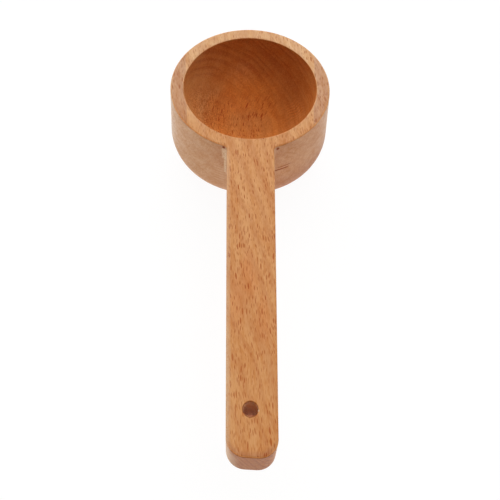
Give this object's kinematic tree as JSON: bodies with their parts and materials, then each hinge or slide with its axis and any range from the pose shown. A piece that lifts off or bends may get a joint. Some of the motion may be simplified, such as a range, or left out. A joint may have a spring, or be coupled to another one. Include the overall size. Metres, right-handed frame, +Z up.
{
  "type": "measuring spoon",
  "caption": "Wooden measuring spoon: a round cup with a rounded bowl and a straight bar handle, level with the rim, with a hanging hole near its end.",
  "frame": {"origin": "centre of the cup's flat base", "axes": "+Z up along the cup's axis and out of its mouth, -Y along the handle towards the hanging hole, +X to the right"},
  "size_m": [0.0538, 0.1469, 0.0285],
  "materials": {
    "cup_wood": "satin clear coat on light brown beech",
    "handle_wood": "satin clear coat on light brown beech"
  },
  "bodies": {
    "root": {"cup": "cup_wood", "handle": "handle_wood"}
  },
  "joints": []
}
